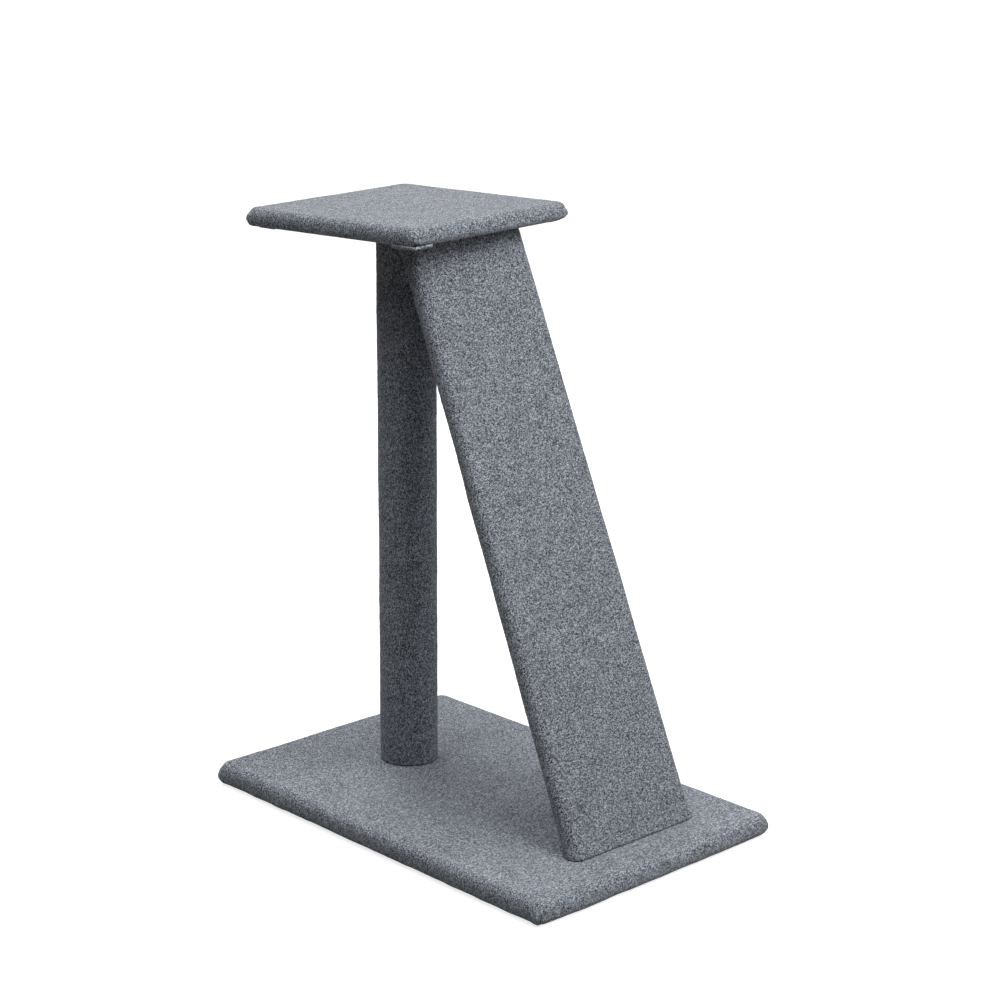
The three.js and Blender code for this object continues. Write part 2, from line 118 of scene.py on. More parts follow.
SLIT_PUCKER_AT = 11 * MM
SLIT_PUCKER_WIDTH = 9 * MM
SLIT_TUCK = 1.3 * MM  # how far it is drawn in on the Y side
SLIT_TUCK_AT = 14 * MM
SLIT_TUCK_WIDTH = 26 * MM
SLIT_PAINTED_SHADE = 0.75  # how dark the shade painted into the slit is, from 0 to 1
STAPLE_DIMPLE = 1.7 * MM
STAPLE_DIMPLE_WIDTH = 3.2 * MM
PRESSED_FLAT = 0.15 * MM  # how far the turned-under felt is pressed in

# ---- Sleeves ----

RAMP_EDGE = 11 * MM  # radius of the ramp's long edges
RAMP_STEP = 2.7 * MM  # spacing of the mesh's points
RAMP_SEED = 31
POST_STEP = 2.4 * MM
POST_SEED = 41
FOOT_FLARE = 2.2 * MM  # how far the sleeve spreads where it is pressed onto the base
FOOT_FLARE_HEIGHT = 13 * MM

# ---- Camera, as it stood for the photograph ----

CAMERA_PLACE = Vector((-1.953, -2.088, 1.186))
CAMERA_HEADING = math.radians(43.411)  # turned from +Y towards +X
CAMERA_TILT = math.radians(15.218)  # below the horizon
CAMERA_ROLL = math.radians(0.233)
CAMERA_LENS = 86.62  # in millimetres, as the sensor's width is
CAMERA_SENSOR = 36


# ---- Smooth random surfaces ----

def waves(points, wavelength, seed, count=14, axes=3):
    """A smooth random height at each point, about -1 to 1, with lumps of that wavelength."""
    rng = np.random.default_rng(seed)
    total = np.zeros(len(points))
    for _ in range(count):
        direction = rng.normal(size=axes)
        direction *= rng.uniform(0.7, 1.4) * 2 * math.pi / (wavelength * np.linalg.norm(direction))
        total += np.cos(points @ direction + rng.uniform(0, 2 * math.pi))
    return total * math.sqrt(2 / count) / 2


def bell(distance, width):
    """1 at no distance, falling smoothly to nearly 0 at twice the width."""
    return np.exp(-((distance / width) ** 2))


def rise(value, start, end):
    """A smooth step from 0 at start to 1 at end."""
    share = np.clip((value - start) / (end - start), 0, 1)
    return share * share * (3 - 2 * share)


def felt_relief(points, seed):
    """How far the felt stands from its true surface, in metres."""
    fuzz = np.random.default_rng(seed).normal(size=len(points))
    return (
        UNDULATION * waves(points, UNDULATION_LENGTH, seed)
        + RIPPLE * waves(points, RIPPLE_LENGTH, seed + 1)
        + FUZZ * np.clip(fuzz, -FUZZ_LIMIT, FUZZ_LIMIT)
    )


# ---- Shells of felt ----

def grid_quads(ids):
    """The quads of a grid of vertex numbers, each turning from its rows to its columns."""
    corners = [ids[:-1, :-1], ids[1:, :-1], ids[1:, 1:], ids[:-1, 1:]]
    return np.stack(corners, axis=-1).reshape(-1, 4)


def rim_quads(quads, count):
    """The quads that join a sheet's open edges to its inner copy, numbered count higher."""
    edges = np.concatenate([quads[:, [i, (i + 1) % 4]] for i in range(4)])
    forward = edges[:, 0] * count + edges[:, 1]
    backward = edges[:, 1] * count + edges[:, 0]
    a, b = edges[~np.isin(forward, backward)].T
    return np.stack([b, a, a + count, b + count], axis=1)


def felt_shell(name, outer, inner, quads, painted_crease_shade, material):
    """A closed shell of felt between an outer and an inner sheet of the same quads.

    Its painted shade says how dark each point is, from 0 to 1, for both sheets.
    """
    count = len(outer)
    faces = np.concatenate([quads, quads[:, ::-1] + count, rim_quads(quads, count)])
    mesh = bpy.data.meshes.new(name)
    mesh.from_pydata(np.concatenate([outer, inner]).tolist(), [], faces.tolist())
    mesh.shade_smooth()
    mesh.attributes.new("painted_crease_shade", "FLOAT", "POINT").data.foreach_set("value", np.tile(painted_crease_shade, 2))
    mesh.materials.append(material)
    shell = bpy.data.objects.new(name, mesh)
    bpy.context.scene.collection.objects.link(shell)
    return shell


# ---- Panels wrapped in felt ----

def stations(breaks, steps):
    """Values from the first break to the last, a step apart in each stretch between two breaks."""
    runs = []
    for start, end, step in zip(breaks, breaks[1:], steps):
        runs.append(np.linspace(start, end, max(1, round((end - start) / step)), endpoint=False))
    return np.append(np.concatenate(runs), breaks[-1])


def box_surface(xs, ys, zs):
    """Points on the surface of a box, at those stations, and its outward quads."""
    shape = (len(xs), len(ys), len(zs))
    ids = np.arange(np.prod(shape)).reshape(shape)
    sides = []
    for axis in range(3):
        for end in (0, -1):
            side = np.take(ids, end, axis=axis)
            if axis == 1:
                side = side.T
            quads = grid_quads(side)
            sides.append(quads if end else quads[:, ::-1])
    used, quads = np.unique(np.concatenate(sides), return_inverse=True)
    i, j, k = np.unravel_index(used, shape)
    return np.stack([xs[i], ys[j], zs[k]], axis=1), quads.reshape(-1, 4)


def panel_place(node):
    """Half the sizes of a CAD panel, its middle and its turn about Z, read from its mesh."""
    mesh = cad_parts[node].data
    side = max((p for p in mesh.polygons if abs(p.normal.z) < 0.01), key=lambda p: p.area)
    quarter = math.pi / 2
    turn = (math.atan2(side.normal.y, side.normal.x) + quarter / 2) % quarter - quarter / 2
    turned = np.array(Matrix.Rotation(turn, 3, "Z"))
    vertices = np.array([v.co for v in mesh.vertices]) @ turned
    low, high = vertices.min(axis=0), vertices.max(axis=0)
    return (high - low) / 2, turned @ (high + low) / 2, turned


def corner_reach(points, half, corner, exponents):
    """How far out each corner's outline stands, as a share of its arc's radius."""
    away = np.maximum(np.abs(points[:, :2]) - (half[:2] - corner), 0)
    reach = np.linalg.norm(away, axis=1)
    power = np.zeros(len(points))
    for sides, exponent in exponents.items():
        power[(points[:, :2] * sides > 0).all(axis=1)] = exponent
    height = (points[:, 2] + half[2]) / (2 * half[2])
    power += WAIST_SHARPNESS * (2 * bell(height - WAIST, WAIST_SPREAD) - 1)
    power = np.maximum(power, LEAST_SHARPNESS)
    in_corner = away.min(axis=1) > 0
    heading = away[in_corner] / reach[in_corner, None]
    exponent = power[in_corner]
    stretch = np.ones(len(points))
    stretch[in_corner] = (heading ** exponent[:, None]).sum(axis=1) ** (-1 / exponent)
    return stretch[:, None]


def round_off(points, half, corner, edge, exponents):
    """Moves points of a box's surface onto the rounded panel, and gives their normals.

    corner is the plan radius at its corners and edge the radius along its edges.
    """
    rectangle = half[:2] - corner
    near = np.clip(points[:, :2], -rectangle, rectangle)
    away = points[:, :2] - near
    reach = np.linalg.norm(away, axis=1, keepdims=True)
    core = near + away * np.minimum(1, (corner - edge) / np.maximum(reach, 1e-9))
    level = np.clip(points[:, 2:], edge - half[2], half[2] - edge)
    core = np.hstack([core, level])
    normals = points - core
    normals /= np.linalg.norm(normals, axis=1, keepdims=True)
    surface = core + edge * normals
    stretch = corner_reach(surface, half, corner, exponents)
    surface[:, :2] = near + (surface[:, :2] - near) * stretch
    return surface, normals


def corner_slit(points, half, top_share):
    """The cut in the felt at each corner, for points on the panel's box.

    It runs along the mitre underneath, then up the corner to a share of its height. Gives the
    relief and the shade painted into the slit.
    """
    in_x = half[0] - np.abs(points[:, 0])
    in_y = half[1] - np.abs(points[:, 1])
    across = (in_x - in_y) / math.sqrt(2)
    top = half[2] * (2 * top_share - 1)
    below = 1 - rise(points[:, 2], top - SLIT_FADE, top)
    slit = below * bell(across, SLIT_WIDTH)
    from_slit = in_x + in_y
    pucker = SLIT_PUCKER * bell(from_slit - SLIT_PUCKER_AT, SLIT_PUCKER_WIDTH)
    tuck = SLIT_TUCK * bell(from_slit - SLIT_TUCK_AT, SLIT_TUCK_WIDTH)
    beside = below * np.where(in_x < in_y, pucker, -tuck)
    # painted shade: the slit is darkened in colour as well as cut in
    return beside - SLIT_DEPTH * slit, SLIT_PAINTED_SHADE * slit


def staple_dimples(points, prefix):
    """How far the felt is pulled in round the CAD's staples whose names start with prefix."""
    depth = np.zeros(len(points))
    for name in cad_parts:
        if name.startswith(prefix):
            low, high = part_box(name)
            nearest = np.clip(points, low, high)
            flat = np.linalg.norm((points - nearest)[:, :2], axis=1)
            depth = np.maximum(depth, bell(flat, STAPLE_DIMPLE_WIDTH))
    return STAPLE_DIMPLE * depth


def panel_cover(name, node, corner, edge, hem, exponents, step, slit_top, seed, material):
    """The felt over a rounded panel, turned under to its hem, and the size it is cut to."""
    half, centre, turned = panel_place(node)
    zone = 2 * corner  # finer stations run this far from each corner
    opening = half[:2] - hem
    lines = []
    for size, inside in zip(half, opening):
        breaks = [-size, zone - size, -inside, inside, size - zone, size]
        fine = CORNER_STEP * step
        lines.append(stations(breaks, [fine, step, step, step, fine]))
    heights = stations([-half[2], half[2]], [SIDE_STEP * step])
    boxed, quads = box_surface(*lines, heights)
    middles = boxed[quads].mean(axis=1)
    inside = (np.abs(middles[:, :2]) < opening).all(axis=1) & (middles[:, 2] <= -half[2])
    used, quads = np.unique(quads[~inside], return_inverse=True)
    boxed, quads = boxed[used], quads.reshape(-1, 4)

    surface, normals = round_off(boxed, half, corner, edge, exponents)
    slit, painted_crease_shade = corner_slit(boxed, half, slit_top)
    surface = centre + surface @ turned.T
    normals = normals @ turned.T
    under = np.maximum(0, -normals[:, 2]) ** UNDERSIDE_POWER
    folded = bell(normals[:, 2] - EDGE_FACING, EDGE_SPREAD)
    relief = felt_relief(surface, seed) + slit
    relief += EDGE_WANDER * folded * waves(surface, EDGE_WANDER_LENGTH, seed + 2)
    dimples = staple_dimples(surface, node.split("_")[0] + "_staple") + PRESSED_FLAT
    relief = relief * (1 - UNDERSIDE_CALM * under) - under * dimples
    relief = np.maximum(relief, THINNEST - FELT)
    outer = surface + normals * relief[:, None]
    outer[:, 2] = np.maximum(outer[:, 2], centre[2] - half[2])
    inner = surface - FELT * normals
    shell = felt_shell(name, outer, inner, quads, painted_crease_shade, material)
    # From the flat top, round the edge and along underneath to the hem's end.
    girth = math.pi * edge + 2 * (half[2] - edge) + (hem - edge)
    cut = [2 * (size - edge + girth) for size in half[:2]]
    return shell, cut


# ---- Sleeves of felt ----

def sleeve(name, section, rows, place, flare, seed, material):
    """A sleeve that follows a section from one side of its seam to the other.

    section gives points, normals and the distance from the seam, and place puts a section's
    points and normals at the height of a row.
    """
    points, normals, from_seam = section
    count = len(points)
    outer, inner = [], []
    for row in rows:
        outer.append(place(points, normals, row))
        inner.append(place(points - FELT * normals, normals, row))
    outer_points = np.concatenate([p for p, _ in outer])
    outer_normals = np.concatenate([n for _, n in outer])
    inner_points = np.concatenate([p for p, _ in inner])
    relief = felt_relief(outer_points, seed)
    from_seam = np.tile(from_seam, len(rows))
    relief += SEAM_LIP * bell(from_seam, SEAM_LIP_WIDTH)
    relief += flare * bell(outer_points[:, 2] - rows[0], FOOT_FLARE_HEIGHT)
    outer_points = outer_points + outer_normals * relief[:, None]
    quads = grid_quads(np.arange(count * len(rows)).reshape(len(rows), count))
    # painted shade along the seam
    painted_crease_shade = SEAM_PAINTED_SHADE * bell(from_seam, SEAM)
    return felt_shell(name, outer_points, inner_points, quads[:, ::-1], painted_crease_shade, material)


def rounded_rectangle(width, depth, radius, step):
    """A section across a rounded board, from its back seam round by its right edge to the seam.

    Gives points, normals and distance from the seam. Y runs from the front face, at 0, back.
    """
    straight_x = width - 2 * radius
    straight_y = depth - 2 * radius
    arc = radius * math.pi / 2
    side = [arc, straight_y, arc]
    lengths = [straight_x / 2, *side, straight_x, *side, straight_x / 2]
    total = sum(lengths)
    along = np.linspace(SEAM / 2, total - SEAM / 2, round(total / step))
    points, normals = [], []
    for s in along:
        angle = math.pi / 2
        place = np.array([0.0, depth])
        for k, length in enumerate(lengths):
            part = min(s, length)
            out = np.array([math.cos(angle), math.sin(angle)])
            ahead = np.array([out[1], -out[0]])
            if k % 2:
                middle = place - radius * out
                angle -= part / radius
                out = np.array([math.cos(angle), math.sin(angle)])
                place = middle + radius * out
            else:
                place = place + part * ahead
            s -= part
            if s <= 0:
                break
        points.append(place)
        normals.append(out)
    return np.array(points), np.array(normals), np.minimum(along, total - along)


def make_ramp_cover(material):
    """The ramp's sleeve: its lean, thickness and place are read from the CAD cover."""
    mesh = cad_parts["ramp_cover"].data
    vertices = np.array([v.co for v in mesh.vertices])
    front = max((p for p in mesh.polygons if p.normal.y < -0.5), key=lambda p: p.area)
    lean = math.asin(front.normal.z)
    up = np.array([0, math.sin(lean), math.cos(lean)])
    back = np.array([0, math.cos(lean), -math.sin(lean)])
    low, high = vertices.min(axis=0), vertices.max(axis=0)
    width = high[0] - low[0]
    head = vertices[vertices[:, 2] > high[2] - 0.1 * MM]
    narrowing = (width - np.ptp(head[:, 0])) / (high[2] - low[2])
    depth = np.ptp(vertices @ back)
    foot = np.array([(low[0] + high[0]) / 2, 0, 0]) + back * (vertices @ back).min()
    across = np.array([1, 0, 0])

    def place(points, normals, height):
        flat_part = width / 2 - RAMP_EDGE
        share = 1 - narrowing * (height - low[2]) / 2 / flat_part
        x = points[:, 0] - (1 - share) * np.clip(points[:, 0], -flat_part, flat_part)
        flat = foot + np.outer(x, across) + np.outer(points[:, 1], back)
        flat += np.outer((height - flat[:, 2]) / up[2], up)
        return flat, np.outer(normals[:, 0], across) + np.outer(normals[:, 1], back)

    rows = np.linspace(low[2], high[2], round((high[2] - low[2]) / (RAMP_STEP * up[2])))
    section = rounded_rectangle(width, depth, RAMP_EDGE, RAMP_STEP)
    cover = sleeve("felt_ramp_cover", section, rows, place, FOOT_FLARE, RAMP_SEED, material)
    middle_width = width - narrowing * (high[2] - low[2]) / 2
    girth = 2 * (middle_width + depth - 4 * RAMP_EDGE) + 2 * math.pi * RAMP_EDGE
    return cover, [girth, (high[2] - low[2] + depth * math.sin(lean)) / math.cos(lean)]


def make_post_cover(material):
    """The post's sleeve, with its seam at the back."""
    low, high = (np.array(v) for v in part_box("post_cover"))
    radius = (high[0] - low[0]) / 2
    centre = (high + low) / 2
    girth = 2 * math.pi * radius
    along = np.linspace(SEAM / 2, girth - SEAM / 2, round(girth / POST_STEP))
    angles = math.pi / 2 - along / radius
    normals = np.stack([np.cos(angles), np.sin(angles)], axis=1)

    def place(points, outward, height):
        tall = np.full(len(points), height)
        level = np.zeros(len(points))
        at = np.column_stack([points[:, 0] + centre[0], points[:, 1] + centre[1], tall])
        return at, np.column_stack([outward, level])

    rows = np.linspace(low[2], high[2], round((high[2] - low[2]) / POST_STEP))
    section = (radius * normals, normals, np.minimum(along, girth - along))
    cover = sleeve("felt_post_cover", section, rows, place, 0, POST_SEED, material)
    return cover, [girth, high[2] - low[2]]


# ---- Folded corners under the platform ----

# For each corner, by its sides in X and Y: how far the flap reaches along X and along Y, how far
# it stands back from the panel's edges in X and in Y, and how thick it lies.
FLAPS = {
    (-1, -1): (40 * MM, 42 * MM, 2.5 * MM, 2.5 * MM, 3.6 * MM),
    (1, -1): (38 * MM, 52 * MM, 6 * MM, 15 * MM, 2.3 * MM),
    (-1, 1): (50 * MM, 42 * MM, 12 * MM, 14 * MM, 2.3 * MM),
    (1, 1): (54 * MM, 43 * MM, 9 * MM, 7 * MM, 2.6 * MM),
}
FLAP_SINK = 0.3 * MM  # how far it presses into the felt above it
FLAP_FOLLOW = 0.6  # how closely it follows the panel's rounded edge, from 0 to 1
FLAP_ROUNDING = 0.12  # how much its corners are cut off
FLAP_ROUNDING_POWER = 6  # how close to the corners that stays
FLAP_TIP = 0.8  # how far its inner corner reaches, as a share of its sides
FLAP_POINTS = (26, 22)  # its mesh's points, along X and along Y
FLAP_WANDER = 0.5 * MM  # how far its cut edges stray
FLAP_WANDER_LENGTH = 14 * MM
FLAP_THINNING = 0.5 * MM  # how much thinner it is at its edges
FLAP_THINNING_BAND = 0.09
FLAP_RIPPLE_LENGTH = 20 * MM
FLAP_SEED = 60


def make_corner_flap(name, sides, reaches, seed, material):
    """The spare felt of one corner, folded flat under the platform, with its cut edge showing."""
    half, centre, turned = panel_place("platform_cover")
    along_x, along_y, back_x, back_y, thickness = reaches
    tip = [FLAP_TIP * along_x, FLAP_TIP * along_y]
    patch = [[back_x, back_y], [back_x, along_y], [along_x, back_y], tip]
    u, v = np.meshgrid(*(np.linspace(0, 1, count) for count in FLAP_POINTS), indexing="ij")
    share = np.stack([(1 - u) * (1 - v), (1 - u) * v, u * (1 - v), u * v], axis=-1)
    inward = (share @ np.array(patch)).reshape(-1, 2)
    middle = np.mean(patch, axis=0)
    in_corners = (np.abs((2 * u - 1) * (2 * v - 1)) ** FLAP_ROUNDING_POWER).reshape(-1, 1)
    inward = middle + (inward - middle) * (1 - FLAP_ROUNDING * in_corners)
    beyond = np.clip(PLATFORM_EDGE - inward.min(axis=1), 0, PLATFORM_EDGE)
    lift = FLAP_FOLLOW * (PLATFORM_EDGE - np.sqrt(PLATFORM_EDGE**2 - beyond**2))
    plan = (half[:2] - inward) * sides
    strays = [waves(plan, FLAP_WANDER_LENGTH, seed + k, axes=2) for k in (1, 2)]
    plan += FLAP_WANDER * np.column_stack(strays)
    near_edge = np.minimum.reduce([u, 1 - u, v, 1 - v]).reshape(-1)
    top = np.column_stack([plan, lift + FLAP_SINK - half[2]])
    bottom = top - [0, 0, thickness]
    thinning = FLAP_THINNING * (1 - rise(near_edge, 0, FLAP_THINNING_BAND))
    bottom[:, 2] += thinning + RIPPLE * waves(bottom, FLAP_RIPPLE_LENGTH, seed)
    quads = grid_quads(np.arange(len(plan)).reshape(u.shape))
    if sides[0] * sides[1] > 0:
        quads = quads[:, ::-1]
    bottom, top = centre + bottom @ turned.T, centre + top @ turned.T
    return felt_shell(name, bottom, top, quads, np.zeros(len(plan)), material)


# ---- Materials ----

def new_material(name):
    """A new material, its node tree and its principled shader."""
    material = bpy.data.materials.new(name)
    material.use_nodes = True
    tree = material.node_tree
    return material, tree, tree.nodes["Principled BSDF"]


def add(tree, kind, inputs=None, **settings):
    """Adds a node with those settings; each input is a value or another node's output."""
    node = tree.nodes.new("ShaderNode" + kind)
    for key, value in settings.items():
        setattr(node, key, value)
    for key, value in (inputs or {}).items():
        if isinstance(value, bpy.types.NodeSocket):
            tree.links.new(value, node.inputs[key])
        else:
            node.inputs[key].default_value = value
    return node


def noise(tree, coordinates, scale, detail, roughness=0.5, distortion=0.0):
    """Smooth noise, with scale cells to the metre."""
    inputs = {
        "Vector": coordinates,
        "Scale": scale,
        "Detail": detail,
        "Roughness": roughness,
        "Distortion": distortion,
    }
    return add(tree, "TexNoise", inputs).outputs["Fac"]


def maths(tree, operation, a, b):
    """One sum of two values or outputs."""
    return add(tree, "Math", {0: a, 1: b}, operation=operation).outputs[0]


def ramp(tree, value, stops):
    """A colour ramp through (position, colour) stops."""
    node = add(tree, "ValToRGB", {"Fac": value})
    elements = node.color_ramp.elements
    while len(elements) < len(stops):
        elements.new(0.5)
    for element, (position, colour) in zip(elements, stops):
        element.position = position
        element.color = (*colour, 1)
    return node.outputs["Color"]


def mix_colours(tree, share, first, second):
    """The first colour where the share is 0, and the second where it is 1."""
    inputs = {"Factor": share, 6: first, 7: second}  # 6 and 7 are the node's two colours
    return add(tree, "Mix", inputs, data_type="RGBA").outputs[2]


def bump(tree, height, strength, distance):
    """The normals of a surface that a height makes uneven, over that distance."""
    inputs = {"Height": height, "Strength": strength, "Distance": distance}
    return add(tree, "Bump", inputs).outputs["Normal"]


# The felt's dark, middling and pale fibres: where each stands in the marl, and its colour.
FELT_FIBRES = [
    (0.412, (0.020, 0.021, 0.026)),
    (0.54, (0.172, 0.187, 0.218)),
    (0.72, (0.560, 0.598, 0.662)),
]
BASE_PAINTED_LIGHT = 1.21  # painted light: the base gets a paler copy of the same felt, standing in for the light it gets
FLAP_PAINTED_LIGHT = 1.25  # painted light: the flaps get a paler copy of the same felt, so that their edges under the platform look lit
CREASE_PAINTED_SHADE_COLOUR = (0.03, 0.03, 0.035)  # the painted shade in slits and seams
STRAND_SCALE = 810  # noise cells per metre
STRAND_STRETCH = 0.32  # the cells' scale along the strands, as a share of that across them
STRAND_TURNS = ((0.5, 0.9, 0.2), (1.1, 0.2, 0.8))  # how the two sets of strands are turned
SPECKLE_SCALE = 750
SPECKLE_SHARE = 0.9
MOTTLE_SCALE = 45
MOTTLE_SHARE = 0.06


def felt_marl(tree, place):
    """A value that mixes crossing strands, fine speckle and broad mottle, mostly 0.4 to 0.75."""
    strands = []
    for turn, squeeze in zip(STRAND_TURNS, ((1, 1, STRAND_STRETCH), (STRAND_STRETCH, 1, 1))):
        inputs = {"Vector": place, "Rotation": turn, "Scale": squeeze}
        turned = add(tree, "Mapping", inputs).outputs["Vector"]
        strands.append(noise(tree, turned, STRAND_SCALE, 1.5, 0.6, 0.9))
    crossing = maths(tree, "MULTIPLY", maths(tree, "ADD", *strands), 0.5)
    speckle = noise(tree, place, SPECKLE_SCALE, 2.0, 0.65, 0.6)
    mottle = noise(tree, place, MOTTLE_SCALE, 2.0)
    speckle = maths(tree, "MULTIPLY", speckle, SPECKLE_SHARE)
    marl = maths(tree, "SUBTRACT", speckle, SPECKLE_SHARE / 2)  # so that it adds nothing on average
    marl = maths(tree, "ADD", marl, crossing)
    return maths(tree, "ADD", marl, maths(tree, "MULTIPLY", mottle, MOTTLE_SHARE))


def make_felt(name, painted_light=1.0):
    """Marled grey needled felt: crossing pale and dark fibres, matted and slightly fuzzy.

    A mesh attribute paints shade into it where the felt is slit or meets in a seam.
    """
    material, tree, shader = new_material(name)
    place = add(tree, "TexCoord").outputs["Object"]
    marl = felt_marl(tree, place)
    painted_crease_shade = add(tree, "Attribute", attribute_name="painted_crease_shade").outputs["Fac"]
    # painted light: a factor above 1 makes a paler copy of the felt, standing in for light
    fibres = [(at, tuple(min(1, painted_light * c) for c in colour)) for at, colour in FELT_FIBRES]
    # painted shade: the slits and seams are darkened in colour
    colour = mix_colours(tree, painted_crease_shade, ramp(tree, marl, fibres), (*CREASE_PAINTED_SHADE_COLOUR, 1))
    tree.links.new(colour, shader.inputs["Base Color"])
    tree.links.new(bump(tree, marl, 0.8, 0.6 * MM), shader.inputs["Normal"])
    shader.inputs["Roughness"].default_value = 0.95
    shader.inputs["Specular IOR Level"].default_value = 0.2
    shader.inputs["Sheen Weight"].default_value = 0.15
    shader.inputs["Sheen Roughness"].default_value = 0.6
    return material


# How many chips to the metre, and their share of the tone: the coarse ones, then the fine ones.
CHIPS = ((270, 0.30), (640, 0.30))
CHIP_GRAIN_SHARE = 0.4
CHIP_BEND = 4 * MM  # how far the chips' outlines are bent


def make_chipboard():
    """Raw chipboard: coarse and fine chips of pale and darker wood, pressed flat."""
    material, tree, shader = new_material("chipboard")
    place = add(tree, "TexCoord").outputs["Object"]
    wobble = add(tree, "TexNoise", {"Vector": place, "Scale": 90, "Detail": 2}).outputs["Color"]
    inputs = {0: wobble, 1: (CHIP_BEND,) * 3, 2: place}
    bent = add(tree, "VectorMath", inputs, operation="MULTIPLY_ADD").outputs[0]
    grain = noise(tree, place, 1100, 3)
    tone = maths(tree, "MULTIPLY", grain, CHIP_GRAIN_SHARE)
    for chips_per_metre, share in CHIPS:
        inputs = {"Vector": bent, "Scale": chips_per_metre}
        chips = add(tree, "TexVoronoi", inputs, distance="CHEBYCHEV").outputs["Color"]
        chip = add(tree, "SeparateColor", {"Color": chips}).outputs["Red"]
        tone = maths(tree, "ADD", tone, maths(tree, "MULTIPLY", chip, share))
    stops = [(0.3, (0.27, 0.17, 0.09)), (0.5, (0.50, 0.36, 0.21)), (0.7, (0.68, 0.53, 0.34))]
    tree.links.new(ramp(tree, tone, stops), shader.inputs["Base Color"])
    tree.links.new(bump(tree, tone, 0.5, 0.3 * MM), shader.inputs["Normal"])
    levels = [(0, (0.7,) * 3), (1, (0.9,) * 3)]
    tree.links.new(ramp(tree, grain, levels), shader.inputs["Roughness"])
    return material


def make_wood():
    """The turned plugs: straight-grained soft wood with growth rings."""
    material, tree, shader = new_material("plug_wood")
    place = add(tree, "TexCoord").outputs["Object"]
    inputs = {"Vector": place, "Scale": 190, "Distortion": 3, "Detail": 2, "Detail Scale": 0.6}
    rings = add(tree, "TexWave", inputs, wave_type="RINGS", rings_direction="X").outputs["Fac"]
    pores = noise(tree, place, 1400, 2)
    rings, pores = maths(tree, "MULTIPLY", rings, 0.7), maths(tree, "MULTIPLY", pores, 0.3)
    tone = maths(tree, "ADD", rings, pores)
    stops = [(0.1, (0.28, 0.16, 0.07)), (0.6, (0.52, 0.34, 0.17)), (1, (0.62, 0.43, 0.24))]
    tree.links.new(ramp(tree, tone, stops), shader.inputs["Base Color"])
    tree.links.new(bump(tree, tone, 0.3, 0.2 * MM), shader.inputs["Normal"])
    shader.inputs["Roughness"].default_value = 0.7
    return material


def make_cardboard():
    """The post's core: spirally wound brown paper board."""
    material, tree, shader = new_material("cardboard")
    place = add(tree, "TexCoord").outputs["Object"]
    inputs = {"Vector": place, "Rotation": (0, 0.5, 0)}
    wound = add(tree, "Mapping", inputs).outputs["Vector"]
    inputs = {"Vector": wound, "Scale": 7, "Distortion": 0.2}
    turns = add(tree, "TexWave", inputs, bands_direction="Z", wave_profile="SAW").outputs["Fac"]
    fibres = noise(tree, place, 700, 3)
    turns, fibres = maths(tree, "MULTIPLY", turns, 0.3), maths(tree, "MULTIPLY", fibres, 0.7)
    tone = maths(tree, "ADD", turns, fibres)
    stops = [(0.2, (0.27, 0.17, 0.09)), (0.8, (0.45, 0.31, 0.18))]
    tree.links.new(ramp(tree, tone, stops), shader.inputs["Base Color"])
    tree.links.new(bump(tree, tone, 0.3, 0.3 * MM), shader.inputs["Normal"])
    shader.inputs["Roughness"].default_value = 0.85
    return material


STEEL_EDGE = 0.3 * MM  # how wide the steel parts' edges are rounded
STEEL_DULLEST = 0.78  # brightness of the dullest patches, as a share of the brightest
STEEL_SMOOTHER = 0.08  # how much less and more rough the patches are
STEEL_ROUGHER = 0.14


def make_steel(name, bright, rough, spangle):
    """Plated steel: bright metal with faint patches of plating and fine scratches."""
    material, tree, shader = new_material(name)
    place = add(tree, "TexCoord").outputs["Object"]
    patches = add(tree, "TexVoronoi", {"Vector": place, "Scale": spangle}).outputs["Color"]
    patch = add(tree, "SeparateColor", {"Color": patches}).outputs["Red"]
    scratches = noise(tree, place, 1800, 2)
    shade = maths(tree, "MULTIPLY", maths(tree, "ADD", patch, scratches), 0.5)
    dull = tuple(STEEL_DULLEST * value for value in bright)
    tree.links.new(ramp(tree, shade, [(0.2, dull), (0.8, bright)]), shader.inputs["Base Color"])
    levels = [(0, (rough - STEEL_SMOOTHER,) * 3), (1, (rough + STEEL_ROUGHER,) * 3)]
    tree.links.new(ramp(tree, shade, levels), shader.inputs["Roughness"])
    tree.links.new(bump(tree, scratches, 0.15, 0.05 * MM), shader.inputs["Normal"])
    shader.inputs["Metallic"].default_value = 1
    return material


# ---- Putting it together ----

def soften_edges(node):
    """Rounds a steel part's sharp edges a little, so that they catch the light."""
    bevel = node.modifiers.new("soft_edges", "BEVEL")
    bevel.width = STEEL_EDGE
    bevel.segments = 2


def dress_cad_nodes():
    """Gives the CAD nodes that stay in view their better materials."""
    zinc = make_steel("zinc_steel", (0.72, 0.74, 0.78), 0.30, 260)
    wire = make_steel("staple_wire", (0.60, 0.61, 0.64), 0.34, 900)
    chipboard, wood, cardboard = make_chipboard(), make_wood(), make_cardboard()
    for name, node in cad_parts.items():
        if name.endswith("_cover"):
            continue
        if name.endswith("_board"):
            material = chipboard
        elif name.endswith("_plug"):
            material = wood
        elif name == "post_tube":
            material = cardboard
        elif "_staple_" in name:
            material = wire
        else:
            material = zinc
            soften_edges(node)
        for slot in node.material_slots:
            slot.material = material


def finish_cover(cover, cut, node, with_pieces=()):
    """Attaches a felt cover to the root and hides the CAD cover that it stands for."""
    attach(cover, "root")
    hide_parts(node)


def make_flaps(felt):
    """The folded corners under the platform."""
    flaps = []
    # make_covers gives them a paler copy of the felt, painted lighter
    for k, (sides, reaches) in enumerate(FLAPS.items()):
        name = f"felt_platform_flap_{k + 1}"
        flap = make_corner_flap(name, sides, reaches, FLAP_SEED + k, felt)
        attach(flap, "root")
        flaps.append(flap)
    return flaps


